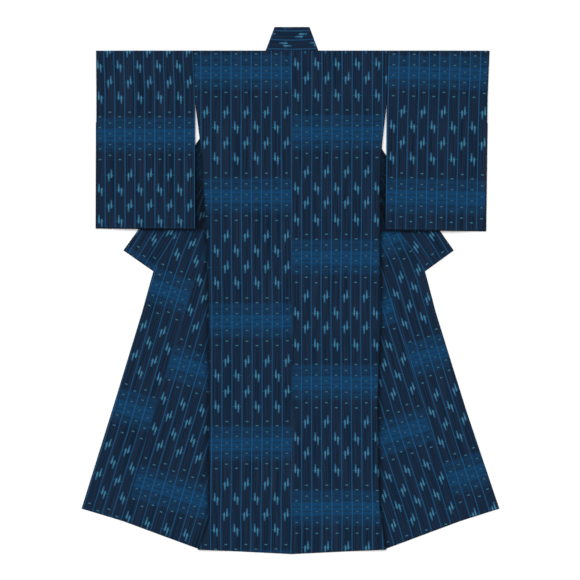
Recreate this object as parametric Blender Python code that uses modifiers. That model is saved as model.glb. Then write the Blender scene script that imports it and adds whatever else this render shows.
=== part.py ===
"""A kimono of one narrow cloth, laid out flat with its back upward.

Seven cut pieces make it: two bodies, each one length that runs from the back hem over the
shoulder to the front hem, two okumi (the gores beside the front opening), two sleeves and
the collar. The fronts lie below the back and are turned outward along a crease that runs
from the neck to the side seam's foot, so that each front, its okumi and its end of the
collar show beside the back.

All sizes are in millimetres. "out" is the distance from the centre back seam, and "down"
is the distance below the shoulder line. The layers lie at three heights: the turned front,
the okumi and the collar on the ground, the front's other half above them, and the back on
top. The sleeves are flat tubes that come down to the ground at their outer ends.
"""
import math
from collections import namedtuple

import bmesh
import bpy
from mathutils import Vector

MM = 0.001

# The cloth and how it is laid
WALL = 1.4
LAYER_PITCH = 2.0
SEAM_GAP = 0.3
FOLD_STEPS = 4
FOLD_REACH = (LAYER_PITCH + WALL) / 2

# Lengths along the garment
COLLAR_RISE = 77.5
HEM_CENTRE_DOWN = 1610.5
HEM_CORNER_DOWN = 1596
HEM_SEAM_DOWN = 1504
HEM_CORNER_OUT = 302
SLEEVE_TIE_DOWN = 165
SIDE_SEAM_TOP = 330
CUFF_OPENING = 230
CREASE_TOP = 170
OKUMI_TOP = 236

# Widths across the garment
NECK_OUT = 83
CREASE_INSIDE_SIDE = 8


def table(columns, *rows):
    """A short table whose rows are read by the names of their columns."""
    Row = namedtuple("Row", columns)
    return [Row(*row) for row in rows]


# Outer edge of the back: sleeve seam, open side below the arm, then the side seam
SIDE_EDGE = table(
    "down left right",
    (0, 317, 310),
    (SLEEVE_TIE_DOWN, 310, 303),
    (300, 293, 288),
    (430, 285, 282),
    (620, 272, 282),
    (850, 267, 284),
    (1150, 266, 275),
    (1460, 266, 282),
    (1505, 267, 288),
    (HEM_CORNER_DOWN, HEM_CORNER_OUT, HEM_CORNER_OUT),
)

# Seam between the front and the okumi, with the end of the collar seam above it
FRONT_SEAM = table(
    "down left right",
    (CREASE_TOP, 128, 124),
    (214, 150, 144),
    (765, 325, 314),
    (1142, 438, 422),
    (1382, 506, 501),
    (HEM_SEAM_DOWN, 544, 541),
)

# Outer edge of the okumi, first along the collar and then free: across from which point
# of the front seam ("seam") it lies, and where
OKUMI_EDGE = table(
    "seam down left right",
    (214, 214, 150, 144),
    (613, 584, 371, 346),
    (672, 639, 404, 385),
    (743, 705, 444, 426),
    (880, 835, 480, 460),
    (1190, 1150, 576, 558),
    (HEM_SEAM_DOWN, 1465, 674, 664),
)

# Free edge of the collar, across from the same points of the front seam
COLLAR_EDGE = table(
    "seam left_down left right_down right",
    (214, 195, 232, 195, 211),
    (348, 291, 304, 304, 282),
    (388, 328, 328, 337, 304),
    (613, 530, 464, 513, 429),
    (672, 581, 499, 577, 475),
    (743, 638, 540, 638, 518),
)

# The collar round the neck, from the centre to the point where the okumi starts: its stand
# shows above the shoulder line and the rest is tucked below the back
COLLAR_NECK = table(
    "seam_down seam_out free_down free_out",
    (19, 0, -77.5, 0),
    (22, 45, -77.5, 56),
    (50, 72, 0, 85),
    (125, 108, 85, 145),
)

# Stations along the front seam, which all the long pieces share
STATIONS = (
    FOLD_REACH, 60, 110, 155, CREASE_TOP, 214, OKUMI_TOP, 311, 388, 500, 613, 672,
    743, 880, 1010, 1142, 1262, 1382, 1420, 1462, HEM_SEAM_DOWN,
)

# The back from the centre to the crease and from there to its edge, as shares of the way
BACK_SHARES = (0, 0.35, 0.6, 0.7, 0.8, 0.9, 1)
FRONT_SHARES = (0, 0.33, 0.67, 1)
TURNED_SHARES = (0, 0.25, 0.5, 0.75, 1)
NARROW_SHARES = (0, 0.33, 0.67, 1)
RAMP_START = 0.6
RAMP_LENGTH = 0.3
NECK_RAMP_TOP = 60
NECK_RAMP_LENGTH = 80

# The sleeves: their edges, and where they come down to the ground
SLEEVE_INNER = table(
    "down left right",
    (0, 317, 310),
    (SLEEVE_TIE_DOWN, 310, 303),
    (574, 310, 299.5),
)
SLEEVE_OUTER = table(
    "down left right",
    (0, 629, 634),
    (144, 628, 628),
    (300, 628, 625.5),
    (574, 629, 622),
)
SLEEVE_BOTTOM = table(
    "edge left right",
    (0, 572, 574),
    (1, 568, 577),
)
SLEEVE_LENGTH = 572
SLEEVE_DOWNS = (0, 80, SLEEVE_TIE_DOWN, CUFF_OPENING, 345, 460, SLEEVE_LENGTH)
SLEEVE_COLUMNS = (0, 0.3, 0.6, 0.69, 0.78, 0.87, 0.96, 1)
SLEEVE_RAMP_START = 0.6
SLEEVE_RAMP_LENGTH = 0.36

# The middle of each layer's wall above the ground
GROUND_LAYER = WALL / 2
MIDDLE_LAYER = GROUND_LAYER + LAYER_PITCH
TOP_LAYER = MIDDLE_LAYER + LAYER_PITCH
OVER_COLLAR = WALL + SEAM_GAP + WALL / 2

# The origin lies below the middle of the whole outline
ORIGIN_OUT = (OKUMI_EDGE[-1].left - OKUMI_EDGE[-1].right) / 2
ORIGIN_DOWN = (HEM_CENTRE_DOWN - COLLAR_RISE) / 2

INDIGO = (0.010, 0.020, 0.043, 1.0)
CLOTH_ROUGHNESS = 0.85

SIGNS = {"left": -1, "right": 1}


def read(rows, key, column, where):
    """The value of a column at a place along the table's key column, straight between rows."""
    for before, after in zip(rows, rows[1:]):
        start, end = getattr(before, key), getattr(after, key)
        if where <= end or after is rows[-1]:
            share = (where - start) / (end - start)
            low, high = getattr(before, column), getattr(after, column)
            return low + share * (high - low)


def smooth(share):
    """An even rise from 0 to 1 with no corner at its ends."""
    share = min(max(share, 0.0), 1.0)
    return share * share * (3 - 2 * share)


def move_sideways(line, distance):
    """The line moved sideways in plan, outward where it runs down the garment."""
    moved = []
    for index, point in enumerate(line):
        runs = []
        if index > 0:
            runs.append((point - line[index - 1]).xy.normalized())
        if index < len(line) - 1:
            runs.append((line[index + 1] - point).xy.normalized())
        across = sum((Vector((run.y, -run.x)) for run in runs), Vector((0, 0))).normalized()
        mitre = across.dot(Vector((runs[0].y, -runs[0].x)))
        shift = across * distance / mitre
        moved.append(Vector((point.x + shift.x, point.y + shift.y, point.z)))
    return moved


def fold(upper, lower, side):
    """The rows of a fold that joins two layers along a line, bulging to one side of it."""
    radius = (upper[0].z - lower[0].z) / 2
    edges = move_sideways(upper, side * radius)
    rows = []
    for step in range(FOLD_STEPS + 1):
        turn = math.pi * step / FOLD_STEPS
        row = []
        for top, edge in zip(upper, edges):
            reach = (edge - top) * math.sin(turn)
            drop = Vector((0, 0, radius * (math.cos(turn) - 1)))
            row.append(top + reach + drop)
        rows.append(row)
    return rows


def column_of(rows, index):
    """One column of a grid of points."""
    return [row[index] for row in rows]


def make_cloth(name, half_patches):
    """One piece of cloth: its patches are placed, welded and given their thickness."""
    shape = bmesh.new()
    for sign, rows in half_patches:
        placed = []
        for row in rows:
            corners = []
            for point in row:
                place = Vector((sign * point.x + ORIGIN_OUT, ORIGIN_DOWN - point.y, point.z))
                corners.append(shape.verts.new(place * MM))
            placed.append(corners)
        for near, far in zip(placed, placed[1:]):
            for index in range(len(near) - 1):
                shape.faces.new((near[index], near[index + 1], far[index + 1], far[index]))
    bmesh.ops.remove_doubles(shape, verts=shape.verts[:], dist=0.01 * MM)
    bmesh.ops.recalc_face_normals(shape, faces=shape.faces[:])
    mesh = bpy.data.meshes.new(name)
    shape.to_mesh(mesh)
    shape.free()
    piece = bpy.data.objects.new(name, mesh)
    bpy.data.collections["kimono"].objects.link(piece)
    wall = piece.modifiers.new("cloth thickness", "SOLIDIFY")
    wall.thickness = WALL * MM
    wall.offset = 0
    wall.use_even_offset = True
    wall.use_quality_normals = True
    mesh.materials.append(make_indigo(name))
    return piece


def make_indigo(name):
    """Matt indigo cotton."""
    material = bpy.data.materials.new(f"{name} indigo cotton")
    material.use_nodes = True
    shader = material.node_tree.nodes["Principled BSDF"]
    shader.inputs["Base Color"].default_value = INDIGO
    shader.inputs["Roughness"].default_value = CLOTH_ROUGHNESS
    shader.inputs["Metallic"].default_value = 0.0
    return material


def crease_out(half, down):
    """The crease along which the front is turned outward: straight, but kept below the back."""
    straight = NECK_OUT + (HEM_CORNER_OUT - NECK_OUT) * down / HEM_CORNER_DOWN
    return min(straight, read(SIDE_EDGE, "down", half, down) - CREASE_INSIDE_SIDE)


def back_height(share, down):
    """The back sinks to the ground in the middle, and near the neck it lies on the collar."""
    sink = smooth((down - NECK_RAMP_TOP) / NECK_RAMP_LENGTH)
    floor = OVER_COLLAR + (GROUND_LAYER - OVER_COLLAR) * sink
    rise = smooth((share - RAMP_START) / RAMP_LENGTH)
    return floor + (TOP_LAYER - floor) * rise


def body_rows(half):
    """The back, the front below it and the turned front, as grids with a row per station."""
    middle_rows, back_rows, front_rows, turned_rows = [], [], [], []
    for station in STATIONS:
        share = station / HEM_SEAM_DOWN
        down = share * HEM_CORNER_DOWN
        crease = crease_out(half, down)
        closed = down >= SIDE_SEAM_TOP
        edge = read(SIDE_EDGE, "down", half, down) - (FOLD_REACH if closed else SEAM_GAP / 2)
        middle = []
        for part in BACK_SHARES:
            out = max(part * crease, SEAM_GAP / 2)
            hem = HEM_CENTRE_DOWN + (HEM_CORNER_DOWN - HEM_CENTRE_DOWN) * part
            middle.append(Vector((out, share * hem, back_height(part, down))))
        outer = [crease + part * (edge - crease) for part in FRONT_SHARES]
        seam_out = read(FRONT_SEAM, "down", half, station)
        turned = []
        for part in TURNED_SHARES:
            out = crease + part * (seam_out - crease)
            turned.append(Vector((out, down + part * (station - down), GROUND_LAYER)))
        middle_rows.append(middle)
        back_rows.append([Vector((out, down, TOP_LAYER)) for out in outer])
        front_rows.append([Vector((out, down, MIDDLE_LAYER)) for out in outer])
        turned_rows.append(turned)
    return middle_rows, back_rows, front_rows, turned_rows


def front_seam_line(half):
    """The seam between front and okumi, at each station from the crease's start down."""
    line = []
    for station in STATIONS:
        if station >= CREASE_TOP:
            line.append(Vector((read(FRONT_SEAM, "down", half, station), station, GROUND_LAYER)))
    return line


def okumi_edge_line(half):
    """The outer edge of the okumi, at each station from its point down."""
    line = []
    for station in STATIONS:
        if station >= OKUMI_TOP:
            out = read(OKUMI_EDGE, "seam", half, station)
            down = read(OKUMI_EDGE, "seam", "down", station)
            line.append(Vector((out, down, GROUND_LAYER)))
    return line


def make_body(half):
    """Back and front in one length, joined over the shoulder and folded at side and crease."""
    middle, back, front, turned = body_rows(half)
    turned_from = STATIONS.index(CREASE_TOP)
    side_from = next(
        index for index, station in enumerate(STATIONS)
        if station * HEM_CORNER_DOWN / HEM_SEAM_DOWN >= SIDE_SEAM_TOP
    )
    turned = turned[turned_from:]
    seam = move_sideways(front_seam_line(half), -SEAM_GAP / 2)
    for row, point in zip(turned, seam):
        row[-1] = point
    creased_front = column_of(front, 0)[turned_from:]
    shoulder = fold(back[0], front[0], 1)
    side = fold(column_of(back, -1)[side_from:], column_of(front, -1)[side_from:], 1)
    crease = fold(creased_front, column_of(turned, 0), -1)
    patches = [middle, back, front, turned, shoulder, side, crease]
    return make_cloth(f"body_{half}", [(SIGNS[half], rows) for rows in patches])


def make_okumi(half):
    """The long gore between the front seam and the garment's opening edge."""
    seam = front_seam_line(half)[STATIONS.index(OKUMI_TOP) - STATIONS.index(CREASE_TOP):]
    inner = move_sideways(seam, SEAM_GAP / 2)
    outer = move_sideways(okumi_edge_line(half), -SEAM_GAP / 2)
    rows = [[near.lerp(far, part) for part in NARROW_SHARES] for near, far in zip(inner, outer)]
    return make_cloth(f"okumi_{half}", [(SIGNS[half], rows)])


def collar_rows(half):
    """The collar from the centre back to its tip, a row of points from seam to free edge."""
    seam, free = [], []
    for station in COLLAR_NECK:
        seam.append(Vector((station.seam_out, station.seam_down, GROUND_LAYER)))
        free.append(Vector((station.free_out, station.free_down, GROUND_LAYER)))
    for station in STATIONS:
        if COLLAR_EDGE[0].seam <= station <= COLLAR_EDGE[-1].seam:
            out = read(OKUMI_EDGE, "seam", half, station)
            down = read(OKUMI_EDGE, "seam", "down", station)
            seam.append(Vector((out, down, GROUND_LAYER)))
            edge_out = read(COLLAR_EDGE, "seam", half, station)
            edge_down = read(COLLAR_EDGE, "seam", f"{half}_down", station)
            free.append(Vector((edge_out, edge_down, GROUND_LAYER)))
    seam = move_sideways(seam, SEAM_GAP / 2)
    seam[0].x = 0
    return [[near.lerp(far, part) for part in NARROW_SHARES] for near, far in zip(seam, free)]


def make_collar():
    """One band from tip to tip, passing round the neck."""
    return make_cloth("collar", [(SIGNS[half], collar_rows(half)) for half in SIGNS])


def make_sleeve(half):
    """A flat tube: folded along the top, sewn at the bottom and at the outer edge below the
    hand opening, and open towards the body."""
    upper, lower = [], []
    for sleeve_down in SLEEVE_DOWNS:
        row_share = sleeve_down / SLEEVE_LENGTH
        top_row, low_row = [], []
        for column_share in SLEEVE_COLUMNS:
            bottom = read(SLEEVE_BOTTOM, "edge", half, column_share) - FOLD_REACH
            down = FOLD_REACH + row_share * (bottom - FOLD_REACH)
            inner = read(SLEEVE_INNER, "down", half, down) + SEAM_GAP / 2
            outer = read(SLEEVE_OUTER, "down", half, down) - FOLD_REACH
            out = inner + column_share * (outer - inner)
            fall = smooth((column_share - SLEEVE_RAMP_START) / SLEEVE_RAMP_LENGTH)
            height = MIDDLE_LAYER - LAYER_PITCH * fall
            low_row.append(Vector((out, down, height)))
            top_row.append(Vector((out, down, height + LAYER_PITCH)))
        upper.append(top_row)
        lower.append(low_row)
    sewn_from = SLEEVE_DOWNS.index(CUFF_OPENING)
    sewn_upper = column_of(upper, -1)[sewn_from:] + upper[-1][-2::-1]
    sewn_lower = column_of(lower, -1)[sewn_from:] + lower[-1][-2::-1]
    top_fold = fold(upper[0], lower[0], 1)
    sewn_fold = fold(sewn_upper, sewn_lower, 1)
    patches = [upper, lower, top_fold, sewn_fold]
    return make_cloth(f"sleeve_{half}", [(SIGNS[half], rows) for rows in patches])


def clear_scene():
    for item in list(bpy.data.objects):
        bpy.data.objects.remove(item, do_unlink=True)


def build():
    clear_scene()
    collection = bpy.data.collections.new("kimono")
    bpy.context.scene.collection.children.link(collection)
    for half in SIGNS:
        make_body(half)
        make_okumi(half)
        make_sleeve(half)
    make_collar()


build()
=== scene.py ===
# %% [markdown]
# A kimono of indigo kasuri cotton, laid out flat on its front, seen straight from above.
# Kasuri is a cloth whose yarns are tied and dyed before they are woven, so its pale marks have
# soft, stepped ends. This lesson rebuilds the seven cut pieces as thin cloth on the frame's
# solids, charts the cloth's repeat in nodes and sews the seams with Geometry Nodes.

import math
from collections import namedtuple

import bmesh
import bpy
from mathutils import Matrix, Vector
from mathutils.bvhtree import BVHTree


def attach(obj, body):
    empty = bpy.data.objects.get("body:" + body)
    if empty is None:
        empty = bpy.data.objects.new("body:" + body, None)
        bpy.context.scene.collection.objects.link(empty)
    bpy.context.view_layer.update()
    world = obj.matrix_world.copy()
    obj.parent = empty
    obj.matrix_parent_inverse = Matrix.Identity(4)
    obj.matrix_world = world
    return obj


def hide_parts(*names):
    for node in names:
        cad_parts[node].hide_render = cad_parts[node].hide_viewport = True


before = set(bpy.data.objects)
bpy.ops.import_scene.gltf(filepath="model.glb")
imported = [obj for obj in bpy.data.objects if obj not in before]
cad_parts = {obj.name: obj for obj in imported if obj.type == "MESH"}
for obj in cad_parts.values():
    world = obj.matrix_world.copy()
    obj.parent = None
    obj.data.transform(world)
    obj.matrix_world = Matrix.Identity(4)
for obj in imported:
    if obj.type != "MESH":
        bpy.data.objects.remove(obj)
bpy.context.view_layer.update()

# %% [markdown]
# The solids were built from a few tables of edges, with "out" the distance from the centre
# back seam and "down" the distance below the shoulder line, in millimetres. A shell that has
# to lie on those solids needs the same edges, so the tables come first. Measuring the solids'
# meshes would be the other way, but a table can be read and changed by hand.

# %% Sizes of the garment
MM = 0.001
WALL = 1.4
LAYER_PITCH = 2.0
SOLID_GAP = 0.3
SHOULDER_TOP = 0.2
FOLD_STEPS = 6
FOLD_REACH = (LAYER_PITCH + WALL) / 2
HEM_CENTRE_DOWN = 1610.5
HEM_CORNER_DOWN = 1596
HEM_SEAM_DOWN = 1504
HEM_CORNER_OUT = 302
COLLAR_RISE = 77.5
SLEEVE_TIE_DOWN = 165
SIDE_SEAM_TOP = 330
CUFF_OPENING = 230
CREASE_TOP = 170
OKUMI_TOP = 236
NECK_OUT = 83
CREASE_INSIDE_SIDE = 8
GROUND_LAYER = WALL / 2
MIDDLE_LAYER = GROUND_LAYER + LAYER_PITCH
TOP_LAYER = MIDDLE_LAYER + LAYER_PITCH
OVER_COLLAR = WALL + SOLID_GAP + WALL / 2
ORIGIN_OUT = 5
ORIGIN_DOWN = (HEM_CENTRE_DOWN - COLLAR_RISE) / 2
SIGNS = {"left": -1, "right": 1}
print("hem to shoulder", HEM_CENTRE_DOWN, "mm, three layers up to", TOP_LAYER + WALL / 2, "mm")

# %% Edges of the cut pieces


def table(columns, *rows):
    """A short table whose rows are read by the names of their columns."""
    Row = namedtuple("Row", columns)
    return [Row(*row) for row in rows]


SIDE_EDGE = table(
    "down left right",
    (0, 317, 310),
    (SLEEVE_TIE_DOWN, 310, 303),
    (300, 293, 288),
    (430, 285, 282),
    (620, 272, 282),
    (850, 267, 284),
    (1150, 266, 275),
    (1460, 266, 282),
    (1505, 267, 288),
    (HEM_CORNER_DOWN, HEM_CORNER_OUT, HEM_CORNER_OUT),
)
FRONT_SEAM = table(
    "down left right",
    (CREASE_TOP, 128, 124),
    (214, 150, 144),
    (765, 325, 314),
    (1142, 438, 422),
    (1382, 506, 501),
    (HEM_SEAM_DOWN, 544, 541),
)
OKUMI_EDGE = table(
    "seam down left right",
    (214, 214, 150, 144),
    (613, 584, 371, 346),
    (672, 639, 404, 385),
    (743, 705, 444, 426),
    (880, 835, 480, 460),
    (1190, 1150, 576, 558),
    (HEM_SEAM_DOWN, 1465, 674, 664),
)
COLLAR_EDGE = table(
    "seam left_down left right_down right",
    (214, 195, 232, 195, 211),
    (348, 291, 304, 304, 282),
    (388, 328, 328, 337, 304),
    (613, 530, 464, 513, 429),
    (672, 581, 499, 577, 475),
    (743, 638, 540, 638, 518),
)
COLLAR_NECK = table(
    "seam_down seam_out free_down free_out",
    (19, 0, -77.5, 0),
    (22, 45, -77.5, 56),
    (50, 72, 0, 85),
    (125, 108, 85, 145),
)
SLEEVE_INNER = table(
    "down left right",
    (0, 317, 310),
    (SLEEVE_TIE_DOWN, 310, 303),
    (574, 310, 299.5),
)
SLEEVE_OUTER = table(
    "down left right",
    (0, 629, 634),
    (144, 628, 628),
    (300, 628, 625.5),
    (574, 629, 622),
)
SLEEVE_BOTTOM = table(
    "edge left right",
    (0, 572, 574),
    (1, 568, 577),
)
print("seven cut pieces from", len(SIDE_EDGE) + len(OKUMI_EDGE) + len(COLLAR_EDGE), "edge rows")

# %% [markdown]
# Each piece becomes a grid of points whose rows follow the warp. The grid is finer than the
# solid's, so that it can carry soft waves, and it is closest along the edges, where cloth
# rolls over. Between the tables' rows everything runs straight, as a pressed garment does.

# %% Grids
STATION_STEP = 14
STATIONS = (
    SHOULDER_TOP, 60, 110, 155, CREASE_TOP, 214, OKUMI_TOP, 311, 348, 388, 500, 613, 672,
    743, 880, 1010, 1142, 1262, 1382, 1420, 1462, HEM_SEAM_DOWN - 12, HEM_SEAM_DOWN - 4,
    HEM_SEAM_DOWN,
)


def read(rows, key, column, where):
    """The value of a column at a place along the table's key column, straight between rows."""
    for before, after in zip(rows, rows[1:]):
        start, end = getattr(before, key), getattr(after, key)
        if where <= end or after is rows[-1]:
            share = (where - start) / (end - start)
            low, high = getattr(before, column), getattr(after, column)
            return low + share * (high - low)


def smooth(share):
    """An even rise from 0 to 1 with no corner at its ends."""
    share = min(max(share, 0.0), 1.0)
    return share * share * (3 - 2 * share)


def closer(stations, step):
    """The same stations with others between them, no more than a step apart."""
    filled = [stations[0]]
    for before, after in zip(stations, stations[1:]):
        parts = math.ceil((after - before) / step)
        filled += [before + (after - before) * part / parts for part in range(1, parts + 1)]
    return filled


def spread(columns, near_edge):
    """Shares of the way across a piece, even inside and closer beside both edges."""
    start = 2.5 * near_edge
    inner = [start + (1 - 2 * start) * part / columns for part in range(columns + 1)]
    return [0, near_edge, *inner, 1 - near_edge, 1]


FINE_STATIONS = closer(STATIONS, STATION_STEP)
MIDDLE_SHARES = spread(18, 0.015)
SIDE_SHARES = spread(3, 0.08)
TURNED_SHARES = spread(16, 0.015)
OKUMI_SHARES = spread(9, 0.025)
COLLAR_SHARES = spread(8, 0.03)
SLEEVE_SHARES = spread(24, 0.01)
print(len(FINE_STATIONS), "rows down the long pieces,",
      len(MIDDLE_SHARES), "columns in half a back")

# %% [markdown]
# Cloth that lies flat still has a little life in it: the folded side edges stand up, the
# sleeves' bottoms lift off what is below them, and long shallow waves run over the panels.
# Simulated cloth would lose the pressed folds, so these lifts are given one by one. They only
# ever raise the cloth, which keeps each layer clear of the one below it.

# %% Soft lifts
SIDE_LIFT = 6.5
SIDE_LIFT_REACH = 60
SLEEVE_LIFT = 5.0
SLEEVE_SIDE_LIFT = 3.5
WAVE_HEIGHT = 0.55
SEAM_RIDGE = 0.5
SEAM_RIDGE_REACH = 13
Wave = namedtuple("Wave", "across along start share")
WAVES = (
    Wave(0.0105, 0.0031, 0.4, 0.40),
    Wave(-0.0052, 0.0118, 1.9, 0.33),
    Wave(0.0190, -0.0086, 4.2, 0.27),
)
Trough = namedtuple("Trough", "out down turn length width depth")
TROUGHS = (
    Trough(255, 1415, 62, 55, 7, 1.0),
    Trough(-150, 40, 12, 90, 14, 0.7),
    Trough(190, 70, -16, 100, 15, 0.7),
    Trough(-120, 1530, 80, 60, 11, 0.8),
    Trough(470, 505, 8, 90, 14, 0.8),
    Trough(-440, 90, -9, 80, 14, 0.7),
    Trough(60, 820, 70, 120, 16, 0.6),
)


def waves(x, down):
    """Long shallow waves, from nothing up to the wave height."""
    total = 0
    for wave in WAVES:
        total += wave.share * math.sin(wave.across * x + wave.along * down + wave.start)
    return WAVE_HEIGHT * (1 + total)


def troughs(x, down):
    """Short creases left by folding, each a ridge that dies away at its ends."""
    total = 0
    for trough in TROUGHS:
        turn = math.radians(trough.turn)
        east, south = x - trough.out, down - trough.down
        along = (east * math.cos(turn) + south * math.sin(turn)) / trough.length
        across = (south * math.cos(turn) - east * math.sin(turn)) / trough.width
        total += trough.depth * math.exp(-along * along - across * across)
    return total


def ripples(x, down):
    """Waves and creases together."""
    return waves(x, down) + troughs(x, down)


def seam_ridge(distance):
    """The cloth turned under along a seam lifts it a little."""
    return SEAM_RIDGE * (1 - smooth(distance / SEAM_RIDGE_REACH))


print("waves up to", 2 * WAVE_HEIGHT, "mm and", len(TROUGHS), "creases")

# %% [markdown]
# The cloth's repeat has to follow each piece as it was cut: the backs hang straight, the
# fronts and okumi lean, and the fronts are upside down, because one length goes over the
# shoulder. Every panel therefore gets its own chart: how its warp leans, where one of its
# warp lines runs, and where a row of marks falls. Pressed cloth also settles by a few
# millimetres, so a short table read off the photo says, at some heights of each panel,
# how far its pattern lies to the right and further down, how much wider its columns are, and
# how far its weft tips. The chart becomes a UV map that counts columns across and millimetres
# along the warp, which no projection could give.

# %% Charts of the panels
COLUMN = 32.2
REPEAT = 395
Chart = namedtuple("Chart", "lean line_out line_down pitch column mark_row repeat turned")
CHARTS = {
    "back_left": Chart(0, -1.9, 0, 32.2, 1, 197.6, 395.7, False),
    "back_right": Chart(0, -0.3, 0, 32.35, 1, 385.6, 400.3, False),
    "sleeve_left": Chart(0, -311.4, 0, 31.8, 1, -0.6, 394.9, False),
    "sleeve_right": Chart(-1.2, 342.7, 16, 32.35, 0, 186.6, 402.6, False),
    "okumi_left": Chart(-17, -352.6, 860.8, 31.95, 0, 980.2, 395.2, False),
    "okumi_right": Chart(17, 338.9, 860.8, 31.0, 1, 793.5, 395.2, False),
    "front_left": Chart(-17, -352.6, 860.8, 32.2, 0, 938.2, 396.2, True),
    "front_right": Chart(17, 334.1, 860.8, 32.2, 0, 1136.9, 395.2, True),
}
Settled = namedtuple("Settled", "down across along wider tilt", defaults=(0, 0))


def settled(*rows):
    """The rows of one panel, from the top down."""
    return [Settled(*row) for row in rows]


SETTLED = {
    "back_left": settled((200, 0, -1), (650, 1, -1), (830, 3, 4), (1200, 3, 2), (1500, -1, 1)),
    "back_right": settled(
        (50, -1, 7),
        (450, -1, 5, -0.008),
        (800, -1, 4, -0.028),
        (1150, -1, 5, -0.014),
        (1500, -1, 7),
    ),
    "sleeve_left": settled((30, -5, 2), (130, -0.5, 3), (250, -1, 3), (530, 0, 3)),
    "sleeve_right": settled((20, 0, 7, 0.008), (100, 0, 3, 0.004), (180, 0, -1), (530, 0, 0)),
    "okumi_left": settled(
        (580, 16, 2, 0.07, 0.06),
        (650, 7.5, 2, 0.05, 0.06),
        (720, 1, 2, 0, 0.06),
        (800, -1, 2, 0, 0.06),
        (900, 0, 0),
        (1050, 2, 0),
        (1250, 3, 2),
        (1400, 1, 5),
    ),
    "okumi_right": settled(
        (580, -15, 0, 0, -0.08),
        (630, -7, 3, 0, -0.08),
        (670, 0, 4, 0, -0.08),
        (730, 4, 3, 0, -0.08),
        (800, 3, 1, 0, -0.06),
        (900, 1, 0),
        (1250, 2, 0),
        (1320, 3, 5, 0.02),
        (1440, 4, 5, 0.05),
    ),
    "front_left": settled((800, 0, -3), (1050, 1, -4), (1250, 2, -2), (1440, 4, -2)),
    "front_right": settled((800, 2, 1), (1050, 1, 4), (1250, 3, 5), (1440, 8, 11)),
}


def chart_place(panel, x, down):
    """Where a point of the garment lies in the cloth: columns across, millimetres along."""
    chart = CHARTS[panel]
    lean = math.radians(chart.lean)
    along = x * math.sin(lean) + down * math.cos(lean) - chart.mark_row
    across = (x - chart.line_out) * math.cos(lean) - (down - chart.line_down) * math.sin(lean)
    rows = SETTLED[panel]
    where = min(max(down, rows[0].down), rows[-1].down)
    across_shift, along_shift, wider, tilt = (
        read(rows, "down", column, where) for column in Settled._fields[1:]
    )
    across = (across - across_shift) / (1 + wider)
    along -= along_shift + tilt * across
    across /= chart.pitch
    if chart.turned:
        along, across = -along, -across
    return across + chart.column, along * REPEAT / chart.repeat


def charted(rows, sign, panel):
    """The chart place of every point of a grid."""
    return [[chart_place(panel, sign * point.x, point.y) for point in row] for row in rows]


def mirrored_in_crease(point):
    """Where a point of the hidden front would lie if it were turned outward at the crease."""
    start = Vector((NECK_OUT, 0))
    run = Vector((HEM_CORNER_OUT - NECK_OUT, HEM_CORNER_DOWN)).normalized()
    offset = point.xy - start
    turned = start + 2 * offset.dot(run) * run - offset
    return Vector((turned.x, turned.y, point.z))


print(len(CHARTS), "panels charted,", round(REPEAT / COLUMN, 2), "columns to a repeat")

# %% [markdown]
# A patch is one grid with its chart, and a piece is several patches welded together. Where
# two layers meet at a fold, a half circle of narrow rows joins them. The wall comes from a
# Solidify modifier, which keeps it even, and a small Bevel rounds the cut edges. Beside the
# okumi the front turns under by an overlap, so the painted shade along that seam starts further
# in.

# %% Cloth from patches
# How far the painted shade beside a seam reaches, and how much further it reaches on the front.
SEAM_SHADE_REACH = 0.9
OKUMI_OVERLAP = 2.2
Patch = namedtuple("Patch", "sign rows chart recess overlap", defaults=(None, 0))
KIMONO = bpy.data.collections.new("kimono")
bpy.context.scene.collection.children.link(KIMONO)
EDGE_ROUNDING = 0.45
EDGE_ANGLE = 60
WELD_REACH = 0.01
FAR_AWAY = 1000.0
PLAN_LINE_STEP = 3


def move_sideways(line, distance):
    """The line moved sideways in plan, outward where it runs down the garment."""
    moved = []
    for index, point in enumerate(line):
        runs = []
        if index > 0:
            runs.append((point - line[index - 1]).xy.normalized())
        if index < len(line) - 1:
            runs.append((line[index + 1] - point).xy.normalized())
        across = sum((Vector((run.y, -run.x)) for run in runs), Vector((0, 0))).normalized()
        mitre = across.dot(Vector((runs[0].y, -runs[0].x)))
        shift = across * distance / mitre
        moved.append(Vector((point.x + shift.x, point.y + shift.y, point.z)))
    return moved


def fold(upper, lower, side):
    """The rows of a fold that joins two layers along a line, bulging to one side of it."""
    heights = [(top.z - low.z) / 2 for top, low in zip(upper, lower)]
    edges = move_sideways(upper, side * LAYER_PITCH / 2)
    rows = []
    for step in range(FOLD_STEPS + 1):
        turn = math.pi * step / FOLD_STEPS
        row = []
        for top, low, edge, height in zip(upper, lower, edges, heights):
            reach = (edge - top) * math.sin(turn)
            place = top.lerp(low, step / FOLD_STEPS) + reach
            row.append(Vector((place.x, place.y, top.z + height * (math.cos(turn) - 1))))
        rows.append(row)
    return rows


def column_of(rows, index):
    """One column of a grid of points."""
    return [row[index] for row in rows]


def distance_to(lines, x, down):
    """The distance in plan from a point to the nearest of some lines."""
    nearest = FAR_AWAY
    for line in lines:
        for start, end in zip(line, line[1:]):
            east, south = end[0] - start[0], end[1] - start[1]
            length = east * east + south * south
            share = ((x - start[0]) * east + (down - start[1]) * south) / length
            share = min(max(share, 0.0), 1.0)
            gap = math.hypot(x - start[0] - share * east, down - start[1] - share * south)
            nearest = min(nearest, gap)
    return nearest


def plan_line(sign, line):
    """A line's places in plan, thinned to the few that its shape needs."""
    return [(sign * point.x, point.y) for point in line[:-1:PLAN_LINE_STEP] + line[-1:]]


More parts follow.
